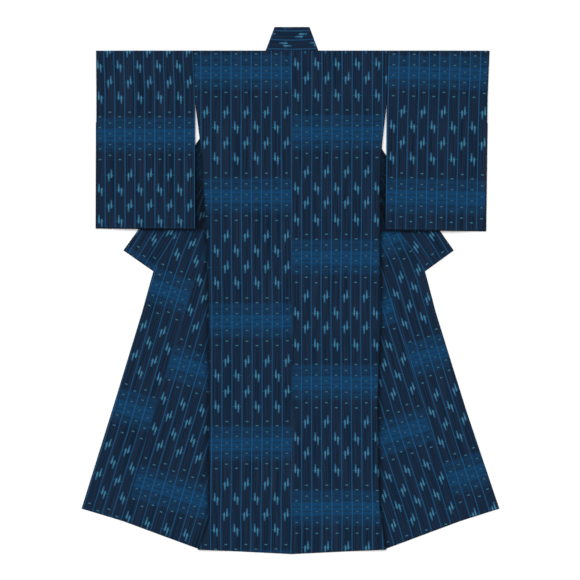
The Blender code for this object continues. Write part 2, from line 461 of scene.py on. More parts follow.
def make_cloth(name, patches, open_edges, seams, slip=0):
    """One piece of cloth: its patches are placed, charted, welded and given their thickness."""
    shape = bmesh.new()
    cloth = shape.loops.layers.uv.new("cloth")
    rim = shape.loops.layers.uv.new("rim")
    recess = shape.loops.layers.uv.new("recess")
    for patch in patches:
        placed, rims = [], []
        for row in patch.rows:
            corners, gaps = [], []
            for point in row:
                x = patch.sign * point.x
                place = Vector((x + ORIGIN_OUT, ORIGIN_DOWN - point.y, point.z))
                corners.append(shape.verts.new(place * MM))
                # Distances to open edges and seams, kept in the rim map for the painted shade
                # along them.
                edge_gap = distance_to(open_edges, x, point.y)
                seam_gap = distance_to(seams, x, point.y) - patch.overlap
                gaps.append((edge_gap, seam_gap / SEAM_SHADE_REACH))
            placed.append(corners)
            rims.append(gaps)
        for down in range(len(placed) - 1):
            for out in range(len(placed[0]) - 1):
                corners = [(down, out), (down, out + 1), (down + 1, out + 1), (down + 1, out)]
                face = shape.faces.new([placed[row][column] for row, column in corners])
                face.smooth = True
                for loop, (row, column) in zip(face.loops, corners):
                    loop[cloth].uv = patch.chart[row][column]
                    loop[rim].uv = rims[row][column]
                    point = patch.rows[row][column]
                    # How much shade is painted here in the recesses, kept with the yarns' slip.
                    depth = patch.recess(point.x, point.y) if patch.recess else 0
                    loop[recess].uv = (depth, slip)
    bmesh.ops.remove_doubles(shape, verts=shape.verts[:], dist=WELD_REACH * MM)
    bmesh.ops.recalc_face_normals(shape, faces=shape.faces[:])
    mesh = bpy.data.meshes.new(name)
    shape.to_mesh(mesh)
    shape.free()
    piece = bpy.data.objects.new(name, mesh)
    KIMONO.objects.link(piece)
    wall = piece.modifiers.new("cloth thickness", "SOLIDIFY")
    wall.thickness = WALL * MM
    wall.offset = 0
    wall.use_even_offset = True
    wall.use_quality_normals = True
    rounding = piece.modifiers.new("rounded edges", "BEVEL")
    rounding.width = EDGE_ROUNDING * MM
    rounding.segments = 2
    rounding.limit_method = "ANGLE"
    rounding.angle_limit = math.radians(EDGE_ANGLE)
    print(name, "has", len(mesh.polygons), "faces before its wall")
    return piece


# %% [markdown]
# Under the arms and along the sides, the lower layers lie in a recess between the thick side
# folds and the sleeves, and very little light reaches them. The shell is much flatter than
# puffed cotton, so the lamps alone leave that recess too light, and the rest of its shade is
# painted into the cloth's colour. How much painted shade a point gets depends only on the
# tables, so it is worked out here and kept as a small UV map, whose second number is how far
# the tied yarns of that length have slipped.

# %% Painted shade in the recess beside the back
BACK_SHADE = 0.62
BACK_SHADE_REACH = 15
SLEEVE_SHADE = 0.62
SLEEVE_SHADE_REACH = 9
GAP_SHADE = 0.64
GAP_EDGE_SHADE = 0.95
GAP_EDGE_REACH = 14
RECESS_TOP = 150
RECESS_BELOW_SLEEVE_AT = 0.4


def painted_recess_shade_of(half):
    """How much painted shade a point of the lower layers gets in the recess, from 0 in the open
    to 1.
    """

    def recess(out, down):
        if down < RECESS_TOP:
            return 0
        side = read(SIDE_EDGE, "down", half, down)
        bottom = read(SLEEVE_BOTTOM, "edge", half, RECESS_BELOW_SLEEVE_AT)
        beside_back = BACK_SHADE * (1 - smooth((out - side) / BACK_SHADE_REACH))
        below_sleeve = 0
        if out > side:
            below_sleeve = SLEEVE_SHADE * (1 - smooth((down - bottom) / SLEEVE_SHADE_REACH))
        under_sleeve = 0
        if down < bottom:
            to_sleeve = read(SLEEVE_INNER, "down", half, down) - out
            open_share = smooth(to_sleeve / GAP_EDGE_REACH)
            under_sleeve = GAP_EDGE_SHADE + (GAP_SHADE - GAP_EDGE_SHADE) * open_share
        return max(beside_back, below_sleeve, under_sleeve)

    return recess


print("recess at the gap under the left arm:", painted_recess_shade_of("left")(300, 500))

# %% [markdown]
# The body is the largest cut: one length from the back hem over the shoulder to the front
# hem. Its back lies on top, the first stretch of its front lies under that, and the rest is
# turned outward along a crease and shows beside the back. Following the folds with patches
# keeps the cut in one piece, where three separate panels would leave seams that aren't there.

# %% The two bodies
RAMP_START = 0.6
RAMP_LENGTH = 0.3
NECK_RAMP_TOP = 60
NECK_RAMP_LENGTH = 80
TURNED_CLEAR_REACH = 40
UNDER_LIFT_SHARE = 0.6
BODY_SLIP = {"left": 0, "right": 4.4}
SIDE_LIFT_STEPS = table(
    "down length share",
    (SIDE_SEAM_TOP, 120, 1),
    (640, 200, -0.45),
    (1400, 190, -0.35),
)


def crease_out(half, down):
    """The crease along which the front is turned outward: straight, but kept below the back."""
    straight = NECK_OUT + (HEM_CORNER_OUT - NECK_OUT) * down / HEM_CORNER_DOWN
    return min(straight, read(SIDE_EDGE, "down", half, down) - CREASE_INSIDE_SIDE)


def back_height(share, down):
    """The back sinks to the ground in the middle, and near the neck it lies on the collar."""
    sink = smooth((down - NECK_RAMP_TOP) / NECK_RAMP_LENGTH)
    floor = OVER_COLLAR + (GROUND_LAYER - OVER_COLLAR) * sink
    rise = smooth((share - RAMP_START) / RAMP_LENGTH)
    return floor + (TOP_LAYER - floor) * rise


def side_lift(inside_edge, down):
    """How far the folded side edge stands up, at a distance inside it."""
    share = 0
    for step in SIDE_LIFT_STEPS:
        share += step.share * smooth((down - step.down) / step.length)
    return SIDE_LIFT * share * (1 - smooth(inside_edge / SIDE_LIFT_REACH))


def body_rows(half, stations):
    """The back, the front below it and the turned front, as grids with a row per station."""
    middle_rows, back_rows, front_rows, turned_rows = [], [], [], []
    sign = SIGNS[half]
    for station in stations:
        share = station / HEM_SEAM_DOWN
        down = share * HEM_CORNER_DOWN
        crease = crease_out(half, down)
        side = read(SIDE_EDGE, "down", half, down)
        edge = side - FOLD_REACH if down >= SIDE_SEAM_TOP else side
        middle, back, front, turned = [], [], [], []
        for part in MIDDLE_SHARES:
            out = part * crease
            hem = HEM_CENTRE_DOWN + (HEM_CORNER_DOWN - HEM_CENTRE_DOWN) * part
            lift = ripples(sign * out, share * hem)
            lift += seam_ridge(out) + side_lift(edge - out, down)
            middle.append(Vector((out, share * hem, back_height(part, down) + lift)))
        for part in SIDE_SHARES:
            out = crease + part * (edge - crease)
            lift = ripples(sign * out, down)
            lift += seam_ridge(out) + side_lift(edge - out, down)
            back.append(Vector((out, down, TOP_LAYER + lift)))
            lift = UNDER_LIFT_SHARE * side_lift(edge - out, down)
            front.append(Vector((out, down, MIDDLE_LAYER + lift)))
        seam_out = read(FRONT_SEAM, "down", half, station)
        for part in TURNED_SHARES:
            out = crease + part * (seam_out - crease)
            turned_down = down + part * (station - down)
            clear = smooth((out - side) / TURNED_CLEAR_REACH)
            lift = clear * waves(sign * out, turned_down) + seam_ridge(seam_out - out)
            turned.append(Vector((out, turned_down, GROUND_LAYER + lift)))
        middle_rows.append(middle)
        back_rows.append(back)
        front_rows.append(front)
        turned_rows.append(turned)
    return middle_rows, back_rows, front_rows, turned_rows


def front_seam_line(half, stations):
    """The seam between front and okumi, at each station from the crease's start down."""
    line = []
    for station in stations:
        if station >= CREASE_TOP:
            line.append(Vector((read(FRONT_SEAM, "down", half, station), station, GROUND_LAYER)))
    return line


def make_body(half):
    """Back and front in one length, joined over the shoulder and folded at side and crease."""
    sign = SIGNS[half]
    stations = FINE_STATIONS
    middle, back, front, turned = body_rows(half, stations)
    turned_from = stations.index(CREASE_TOP)
    side_from = next(
        index for index, station in enumerate(stations)
        if station * HEM_CORNER_DOWN / HEM_SEAM_DOWN >= SIDE_SEAM_TOP
    )
    turned = turned[turned_from:]
    shoulder = fold(back[0], front[0], 1)
    side = fold(column_of(back, -1)[side_from:], column_of(front, -1)[side_from:], 1)
    crease = fold(column_of(front, 0)[turned_from:], column_of(turned, 0), -1)
    recess = painted_recess_shade_of(half)
    back_chart, front_chart = f"back_{half}", f"front_{half}"
    hidden = [[mirrored_in_crease(point) for point in row] for row in front]
    patches = [
        Patch(sign, middle, charted(middle, sign, back_chart)),
        Patch(sign, back, charted(back, sign, back_chart)),
        Patch(sign, front, charted(hidden, sign, front_chart)),
        Patch(sign, turned, charted(turned, sign, front_chart), recess, OKUMI_OVERLAP),
        Patch(sign, shoulder, charted(shoulder, sign, back_chart)),
        Patch(sign, side, charted(side, sign, back_chart)),
        Patch(sign, crease, charted(crease, sign, front_chart), recess),
    ]
    hems = [plan_line(sign, middle[-1]), plan_line(sign, back[-1]), plan_line(sign, turned[-1])]
    side_line = plan_line(sign, column_of(back, -1))
    seams = [
        plan_line(sign, column_of(middle, 0)),
        plan_line(sign, column_of(turned, -1)),
    ]
    return make_cloth(f"body_{half}_cloth", patches, hems + [side_line], seams, BODY_SLIP[half])


bodies = {half: make_body(half) for half in SIGNS}

# %% [markdown]
# The okumi is the long gore between the front and the opening edge. It is a plain strip that
# narrows to a point under the collar, so one grid between its seam and its free edge is all
# that it takes.

# %% The two okumi
OKUMI_FREE_FROM = 700
OKUMI_FREE_REACH = 60
COLLAR_TIP_DOWN = OKUMI_EDGE[3].down
COLLAR_TIP_REACH = 16


def okumi_edge_line(half, stations):
    """The outer edge of the okumi, at each station from its point down."""
    line = []
    for station in stations:
        if station >= OKUMI_TOP:
            out = read(OKUMI_EDGE, "seam", half, station)
            down = read(OKUMI_EDGE, "seam", "down", station)
            line.append(Vector((out, down, GROUND_LAYER)))
    return line


def make_okumi(half):
    """The long gore between the front seam and the garment's opening edge."""
    sign = SIGNS[half]
    inner = [point for point in front_seam_line(half, FINE_STATIONS) if point.y >= OKUMI_TOP]
    outer = okumi_edge_line(half, FINE_STATIONS)
    rows = []
    for near, far in zip(inner, outer):
        width = (far - near).length
        row = []
        for part in OKUMI_SHARES:
            point = near.lerp(far, part)
            free = smooth((point.y - OKUMI_FREE_FROM) / OKUMI_FREE_REACH)
            lift = free * (ripples(sign * point.x, point.y) + seam_ridge(part * width))
            row.append(point + Vector((0, 0, lift)))
        rows.append(row)
    patches = [Patch(sign, rows, charted(rows, sign, f"okumi_{half}"), painted_recess_shade_of(half))]
    edge = column_of(rows, -1)
    free_edge = [point for point in edge if point.y >= COLLAR_TIP_DOWN]
    open_edges = [plan_line(sign, free_edge), plan_line(sign, rows[-1])]
    collar_seam = [point for point in edge if point.y <= COLLAR_TIP_DOWN + COLLAR_TIP_REACH]
    seams = [plan_line(sign, column_of(rows, 0)), plan_line(sign, collar_seam)]
    return make_cloth(f"okumi_{half}_cloth", patches, open_edges, seams)


okumi = {half: make_okumi(half) for half in SIGNS}

# %% [markdown]
# The collar is one strip from tip to tip. Its warp runs along it, so its chart can't come
# from where a point lies on the table. It is worked out along the strip instead: columns
# counted from the seam, and the length measured from the centre back.

# %% The collar
STAND_LINE_DOWN = -8.4
STAND_COLUMN = 29.2
STAND_SAG = 2.4
STAND_HALF_WIDTH = 85
STAND_REACH = 50
ARM_COLUMN = 31.4
CENTRE_ALONG = 76.2
ARM_CHART_FROM = 348
COLLAR_FREE_FROM = 560
COLLAR_FREE_REACH = 30
COLLAR_WAVE_SHARE = 0.6
Arm = namedtuple("Arm", "lean mark_row repeats turned seam_column")
ARMS = {
    "left": Arm(-34.0, 600.8, 1, False, 1.1),
    "right": Arm(36.65, 740.2, -2, True, 1.04),
}


def arm_along(half, x, down):
    """How far along the collar's cloth a point of its arm lies."""
    arm = ARMS[half]
    lean = math.radians(arm.lean)
    along = x * math.sin(lean) + down * math.cos(lean) - arm.mark_row
    return (-along if arm.turned else along) + arm.repeats * REPEAT


def collar_lines(half, stations):
    """The collar's seam and free edge from the centre back to its tip, and their stations."""
    seam, free, marks = [], [], []
    for station in COLLAR_NECK:
        seam.append(Vector((station.seam_out, station.seam_down, GROUND_LAYER)))
        free.append(Vector((station.free_out, station.free_down, GROUND_LAYER)))
        marks.append(station.seam_down if station.seam_out else 0)
    for station in stations:
        if COLLAR_EDGE[0].seam <= station <= COLLAR_EDGE[-1].seam:
            out = read(OKUMI_EDGE, "seam", half, station)
            down = read(OKUMI_EDGE, "seam", "down", station)
            seam.append(Vector((out, down, GROUND_LAYER)))
            edge_out = read(COLLAR_EDGE, "seam", half, station)
            edge_down = read(COLLAR_EDGE, "seam", f"{half}_down", station)
            free.append(Vector((edge_out, edge_down, GROUND_LAYER)))
            marks.append(station)
    return seam, free, marks


def stand_place(sign, point):
    """The chart where the collar stands behind the neck: warp lines from side to side, with a
    little sag in the middle."""
    line = STAND_LINE_DOWN + STAND_SAG * (1 - point.x / STAND_HALF_WIDTH)
    return 1 - (line - point.y) / STAND_COLUMN, CENTRE_ALONG - sign * point.x


def collar_chart_row(half, near, far, mark):
    """The chart at the seam and at the free edge of one row of the collar."""
    sign = SIGNS[half]
    if mark <= STAND_REACH:
        return stand_place(sign, near), stand_place(sign, far)
    near_column = ARMS[half].seam_column
    far_column = near_column - (far - near).length / ARM_COLUMN
    if mark < COLLAR_EDGE[0].seam:
        near_along = CENTRE_ALONG - sign * (near.x + near.y - STAND_REACH)
        far_along = CENTRE_ALONG - sign * (far.x + near.y - STAND_REACH)
    else:
        near_along = arm_along(half, sign * near.x, near.y)
        far_along = arm_along(half, sign * far.x, far.y)
    return (near_column, near_along), (far_column, far_along)


def collar_patch(half):
    """Half of the collar with its chart, a row of points from seam to free edge."""
    sign = SIGNS[half]
    top = COLLAR_EDGE[0].seam
    stations = [top, *[station for station in FINE_STATIONS if station >= ARM_CHART_FROM]]
    seam, free, marks = collar_lines(half, stations)
    rows, chart = [], []
    for near, far, mark in zip(seam, free, marks):
        ends = collar_chart_row(half, near, far, mark)
        row, places = [], []
        for part in COLLAR_SHARES:
            point = near.lerp(far, part)
            free_share = smooth((point.y - COLLAR_FREE_FROM) / COLLAR_FREE_REACH)
            lift = COLLAR_WAVE_SHARE * free_share * waves(sign * point.x, point.y)
            row.append(point + Vector((0, 0, lift)))
            column = ends[0][0] + part * (ends[1][0] - ends[0][0])
            along = ends[0][1] + part * (ends[1][1] - ends[0][1])
            places.append((column, along))
        rows.append(row)
        chart.append(places)
    return Patch(sign, rows, chart, painted_recess_shade_of(half))


def make_collar():
    """One band from tip to tip, passing round the neck."""
    patches = [collar_patch(half) for half in SIGNS]
    open_edges, seams = [], []
    for patch in patches:
        open_edges.append([(patch.sign * row[-1].x, row[-1].y) for row in patch.rows])
        open_edges.append(plan_line(patch.sign, patch.rows[-1]))
        seams.append([(patch.sign * row[0].x, row[0].y) for row in patch.rows])
    return make_cloth("collar_cloth", patches, open_edges, seams)


collar = make_collar()

# %% [markdown]
# A sleeve is a flat tube, folded along its top and sewn round the rest. Two layers joined by
# folds give it its real edges, and its bottom edge lifts a little where it lies over the
# collar, which casts part of the dark line under it; the rest of that line is painted shade
# on the cloth below.

# %% The two sleeves
SLEEVE_DOWNS = (0, 80, SLEEVE_TIE_DOWN, CUFF_OPENING, 345, 460, 540, 564, 572)
SLEEVE_LENGTH = 572
SLEEVE_RAMP_START = 0.6
SLEEVE_RAMP_LENGTH = 0.36
SLEEVE_LIFT_FROM = 470
SLEEVE_LIFT_LENGTH = 100
SLEEVE_SIDE_LIFT_FROM = SLEEVE_TIE_DOWN + 60
SLEEVE_SIDE_LIFT_LENGTH = 150
SLEEVE_SIDE_REACH = 50
FINE_DOWNS = closer(SLEEVE_DOWNS, STATION_STEP)


def sleeve_height(share, from_body, down):
    """How high a sleeve's lower layer lies: it sinks to the table outward, and stands up over
    the collar and beside the body."""
    fall = smooth((share - SLEEVE_RAMP_START) / SLEEVE_RAMP_LENGTH)
    over_collar = (1 - fall) * smooth((down - SLEEVE_LIFT_FROM) / SLEEVE_LIFT_LENGTH)
    beside_body = 1 - smooth(from_body / SLEEVE_SIDE_REACH)
    below_tie = smooth((down - SLEEVE_SIDE_LIFT_FROM) / SLEEVE_SIDE_LIFT_LENGTH)
    side_lift_share = beside_body * below_tie * (1 - over_collar)
    lift = SLEEVE_LIFT * over_collar + SLEEVE_SIDE_LIFT * side_lift_share
    return MIDDLE_LAYER - LAYER_PITCH * fall + lift


def make_sleeve(half):
    """A flat tube: folded along the top, sewn at the bottom and at the outer edge below the
    hand opening, and open towards the body."""
    sign = SIGNS[half]
    upper, lower = [], []
    for sleeve_down in FINE_DOWNS:
        row_share = sleeve_down / SLEEVE_LENGTH
        top_row, low_row = [], []
        for column_share in SLEEVE_SHARES:
            bottom = read(SLEEVE_BOTTOM, "edge", half, column_share) - FOLD_REACH
            down = SHOULDER_TOP + row_share * (bottom - SHOULDER_TOP)
            inner = read(SLEEVE_INNER, "down", half, down)
            outer = read(SLEEVE_OUTER, "down", half, down) - FOLD_REACH
            out = inner + column_share * (outer - inner)
            height = sleeve_height(column_share, out - inner, down)
            low_row.append(Vector((out, down, height)))
            lift = ripples(sign * out, down)
            top_row.append(Vector((out, down, height + LAYER_PITCH + lift)))
        upper.append(top_row)
        lower.append(low_row)
    sewn_from = FINE_DOWNS.index(CUFF_OPENING)
    sewn_upper = column_of(upper, -1)[sewn_from:] + upper[-1][-2::-1]
    sewn_lower = column_of(lower, -1)[sewn_from:] + lower[-1][-2::-1]
    top_fold = fold(upper[0], lower[0], 1)
    sewn_fold = fold(sewn_upper, sewn_lower, 1)
    patches = [Patch(sign, rows, charted(rows, sign, f"sleeve_{half}"))
               for rows in (upper, lower, top_fold, sewn_fold)]
    open_edges = [plan_line(sign, upper[-1]), plan_line(sign, column_of(upper, -1))]
    sewn_to = SLEEVE_TIE_DOWN + STATION_STEP
    sewn_on = [point for point in column_of(upper, 0) if point.y <= sewn_to]
    return make_cloth(f"sleeve_{half}_cloth", patches, open_edges, [plan_line(sign, sewn_on)])


sleeves = {half: make_sleeve(half) for half in SIGNS}

# %% [markdown]
# Shader maths reads best as ordinary expressions, so a small class wraps a socket and turns
# each operator into a Math node. One method of the recipe adds every other node. The reverse
# forms let a plain number stand first, as in 1 - mask.

# %% A way to write shader maths
LIGHT_LEVEL = 1.25


class Amount:
    """A number that changes over the cloth, whose operators add Math nodes."""

    def __init__(self, recipe, socket):
        self.recipe = recipe
        self.socket = socket

    def math(self, operation, *others):
        values = {0: self}
        for index, other in enumerate(others):
            values[index + 1] = other
        node = self.recipe.node("ShaderNodeMath", {"operation": operation}, values)
        return Amount(self.recipe, node.outputs[0])

    def __add__(self, other):
        return self.math("ADD", other)

    __radd__ = __add__

    def __sub__(self, other):
        return self.math("SUBTRACT", other)

    def __rsub__(self, other):
        return (self * -1) + other

    def __mul__(self, other):
        return self.math("MULTIPLY", other)

    __rmul__ = __mul__

    def __truediv__(self, other):
        return self.math("DIVIDE", other)

    def __mod__(self, other):
        return self.math("FLOORED_MODULO", other)

    def __abs__(self):
        return self.math("ABSOLUTE")

    def floor(self):
        return self.math("FLOOR")

    def round(self):
        return self.math("ROUND")

    def sine(self):
        return self.math("SINE")

    def least(self, other):
        return self.math("MINIMUM", other)

    def most(self, other):
        return self.math("MAXIMUM", other)

    def rise(self, start, end):
        """A soft step from 0 to 1 between two values."""
        return self.recipe.amount("ShaderNodeMapRange", {"interpolation_type": "SMOOTHSTEP"},
                                  {"Value": self, "From Min": start, "From Max": end})

    def within(self, limit, softness):
        """1 where the amount is inside a limit and 0 where it is outside."""
        return 1 - abs(self).rise(limit - softness, limit + softness)


def add_node(tree, kind, settings, sockets):
    """Adds a node to a tree, sets it up and gives its sockets their values or links."""
    node = tree.nodes.new(kind)
    for setting, value in settings.items():
        setattr(node, setting, value)
    for socket, value in sockets.items():
        if isinstance(value, Amount):
            value = value.socket
        if isinstance(value, bpy.types.NodeSocket):
            tree.links.new(value, node.inputs[socket])
        else:
            node.inputs[socket].default_value = value
    return node


class Recipe:
    """A material's nodes, each added by one method."""

    def __init__(self, name):
        self.material = bpy.data.materials.new(name)
        self.material.use_nodes = True
        self.tree = self.material.node_tree
        self.tree.nodes.clear()

    def node(self, kind, settings, sockets):
        """Adds a node, sets it up and gives its sockets their values or links."""
        return add_node(self.tree, kind, settings, sockets)

    def amount(self, kind, settings, sockets, output=0):
        """A node's number, ready for maths."""
        return Amount(self, self.node(kind, settings, sockets).outputs[output])

    def uv(self, name):
        """The two numbers of a UV map."""
        place = self.node("ShaderNodeUVMap", {"uv_map": name}, {})
        parts = self.node("ShaderNodeSeparateXYZ", {}, {"Vector": place.outputs[0]})
        return Amount(self, parts.outputs[0]), Amount(self, parts.outputs[1])

    def noise(self, place, detail=2.0):
        """Noise along an amount, or over a plane where the place is a vector."""
        along_line = isinstance(place, Amount)
        settings = {"noise_dimensions": "1D" if along_line else "2D"}
        where = "W" if along_line else "Vector"
        sockets = {where: place, "Scale": 1.0, "Detail": detail}
        return self.amount("ShaderNodeTexNoise", settings, sockets)

    def finish(self, sockets):
        """The shader and the material's output."""
        shader = self.node("ShaderNodeBsdfPrincipled", {}, sockets)
        self.node("ShaderNodeOutputMaterial", {}, {"Surface": shader.outputs[0]})
        return self.material

    def mix(self, share, first, second):
        """A colour between two colours."""
        node = self.node("ShaderNodeMix", {"data_type": "RGBA"}, {0: share, 6: first, 7: second})
        return node.outputs[2]


def dye(red, green, blue):
    """A colour as it looks under the studio light, in screen values, as the cloth's own."""
    parts = []
    for value in (red, green, blue):
        share = value / 255
        linear = share / 12.92 if share <= 0.04045 else ((share + 0.055) / 1.055) ** 2.4
        parts.append(linear / LIGHT_LEVEL)
    return (*parts, 1.0)


print("a mid blue:", [round(part, 4) for part in dye(27, 42, 60)])

# %% [markdown]
# The repeat is charted as a weaver would: narrow light warp lines a column apart, two hooked
# marks of two strokes in every column, then five short weft dashes in a band of half-dyed
# weft. The marks of neighbouring columns are mirror images and half a step apart. In the
# right body's length the tied yarns have slipped, so there the marks of the low columns lie
# earlier along the warp, and those of the high columns a little later. Painting it or using a
# picture would repeat too exactly; here noise moves the end of every mark, as the tied yarns
# do.

# %% The kasuri chart
LINE_HALF_WIDTH = 1.65
MARK_STEP = 97.9
HIGH_FIRST_MARK = 47.4
HIGH_STEP_MORE = 1.9
LOW_STROKE = {"centre": -4.6, "start": -6.2, "end": 19.2}
HIGH_STROKE = {"centre": 4.2, "start": -19.6, "end": 6.6}
STROKE_HALF_WIDTH = 2.35
LOW_DASHES = 193.9
HIGH_DASHES = 208.0
DASH_COUNT = 5
DASH_PITCH = 34.2
DASH_HALF_WIDTH = 4.1
DASH_HALF_HEIGHT = 1.6
DASH_ROW_HALF_HEIGHT = 2.9
MARK_CENTRE_FADE = (5, 15)
MARK_PICK_HALF_HEIGHT = 0.9
MARK_PICK_HALF_WIDTH = 14.5
BROAD_BAND = {"from": 203, "full": 218, "fading": 308, "to": 328}
BRIGHT_BAND = {"from": 242, "full": 254, "fading": 281, "to": 293}
BRIGHT_SHARE = 0.52
YARN = 0.9
HIGH_SLIP_SHARE = 0.3
LINE_SWAY = 0.07
SWAY_PER_MM = 0.011
SWAY_PER_COLUMN = 0.13
ROW_DRIFT = 5
DRIFT_PER_MM = 0.002
DRIFT_PER_COLUMN = 7.31
MARK_UNEVENNESS = 9
TIED_BUNDLE = 1.1
TIED_PER_MM = 0.003
DASH_UNEVENNESS = 4
PICKS_PER_MM = 0.9


def stroke(across, along, shape, unevenness):
    """One stroke of a mark, with soft sides and uneven ends."""
    middle = (shape["start"] + shape["end"]) / 2
    half_length = (shape["end"] - shape["start"]) / 2
    sides = (across - shape["centre"]).within(STROKE_HALF_WIDTH, 0.8)
    ends = (along - middle + unevenness).within(half_length, 2.2)
    return sides * ends


def to_nearest_dash(from_first):
    """How far a place lies from the nearest of the five rows of dashes."""
    number = (from_first / DASH_PITCH).round().most(0).least(DASH_COUNT - 1)
    return from_first - number * DASH_PITCH


def band_of(row, edges):
    """A band across the cloth, with soft edges."""
    rise = row.rise(edges["from"], edges["full"])
    return rise * (1 - row.rise(edges["fading"], edges["to"]))


def kasuri(recipe, slip):
    """The chart's masks from the cloth's UV map: lines, marks, dashes, band and weave."""
    columns, along = recipe.uv("cloth")
    sway = recipe.noise(along * SWAY_PER_MM + columns * SWAY_PER_COLUMN, 1.0)
    columns = columns + (sway - 0.5) * LINE_SWAY
    across = (columns % 1 - 0.5) * COLUMN
    number = columns.floor()
    drift = recipe.noise(number * DRIFT_PER_COLUMN + along * DRIFT_PER_MM)
    is_high = number % 2
    is_low = 1 - is_high
    row = along + (drift - 0.5) * ROW_DRIFT - is_high * slip * HIGH_SLIP_SHARE
    row = row % REPEAT
    first = is_high * HIGH_FIRST_MARK - is_low * slip
    from_first = (row - first + REPEAT / 2) % REPEAT - REPEAT / 2
    from_second = row - first - MARK_STEP - is_high * HIGH_STEP_MORE
    nearer = abs(from_first).math("LESS_THAN", abs(from_second))
    from_mark = from_first * nearer + from_second * (1 - nearer)
    handed = across * (is_low * 2 - 1)
    tied = recipe.noise(columns * (COLUMN / TIED_BUNDLE) + along.floor() * TIED_PER_MM)
    unevenness = (tied - 0.5) * MARK_UNEVENNESS
    low = stroke(handed, from_mark, LOW_STROKE, unevenness)
    high = stroke(handed, from_mark, HIGH_STROKE, unevenness)
    to_low_dash = to_nearest_dash(row - LOW_DASHES)
    to_high_dash = to_nearest_dash(row - HIGH_DASHES)
    to_dash = to_low_dash * is_low + to_high_dash * is_high
    pick = recipe.noise(row * PICKS_PER_MM, 1.0)
    dash = to_dash.within(DASH_HALF_HEIGHT, 0.6)
    dash = dash * (across + (pick - 0.5) * DASH_UNEVENNESS).within(DASH_HALF_WIDTH, 1.4)
    dash_row = to_low_dash.within(DASH_ROW_HALF_HEIGHT, 1.2)
    dash_row = dash_row.most(to_high_dash.within(DASH_ROW_HALF_HEIGHT, 1.2))
    mark_pick = from_mark.within(MARK_PICK_HALF_HEIGHT, 0.6)
    mark_pick = mark_pick * across.within(MARK_PICK_HALF_WIDTH, 1.5)
    broad = band_of(row, BROAD_BAND)
    band = broad * (1 - BRIGHT_SHARE) + band_of(row, BRIGHT_BAND) * BRIGHT_SHARE
    return {
        "columns": columns,
        "along": along,
        "across": across,
        "line": (COLUMN / 2 - abs(across)).within(LINE_HALF_WIDTH, 0.7),
        "mark": low.most(high),
        "mark centre": 1 - abs(from_mark).rise(*MARK_CENTRE_FADE),
        "mark pick": mark_pick,
        "dash": dash,
        "dash row": dash_row,
        "band": band,
    }


# %% [markdown]
# The yarns themselves carry the finish: cotton dyed in indigo is matt, a little lighter where
# a yarn is thick and greyer where it has rubbed. Open edges are darker, partly from the denser
# yarn of a turned edge and partly from painted shade where the edge rolls away from the light,
# and seams and the recesses beside the back get painted shade. The weave is small enough to
# be a bump of crossing waves. A real weave of threads would be millions of faces for something
# that only shows from a hand's width away.

# %% Kasuri cotton
GROUND = dye(4, 30, 52)
GROUND_STRIPE = dye(27, 44, 67)
LINE_IN_GROUND = dye(26, 76, 116)
LINE_IN_BAND = dye(24, 84, 130)
BAND_WEFT = dye(15, 64, 102)
MARK_END = dye(39, 96, 136)
MARK_CENTRE = dye(61, 124, 155)
DASH_COTTON = dye(58, 116, 142)
# Colours of the painted shade along edges and seams, and in the recesses.
EDGE_SHADE = dye(6, 10, 18)
RECESS_SHADE = dye(2, 3, 6)
COTTON_ROUGHNESS = 0.88
COTTON_GLOSS = 0.05
SLUBS = (0.12, 1.3)
STREAKS = (0.42, 0.004)
PICKS = (0.006, 0.26)
UNEVEN_PICKS = (0.11, 0.24)


def cloth_noise(recipe, chart, scales, detail=2.0):
    """Noise with its own scale across and along the warp."""
    across = chart["columns"] * (COLUMN * scales[0])
    along = chart["along"] * scales[1]
    place = recipe.node("ShaderNodeCombineXYZ", {}, {"X": across, "Y": along})
    return recipe.noise(place.outputs[0], detail)


def weave_height(recipe, chart):
    """A plain weave: crossing waves, one yarn to a half wave, with slubs along the weft."""
    warp = (chart["across"] * (math.pi / YARN)).sine()
    weft = (chart["along"] * (math.pi / YARN)).sine()
    return warp * weft * 0.5 + cloth_noise(recipe, chart, SLUBS) * 0.8


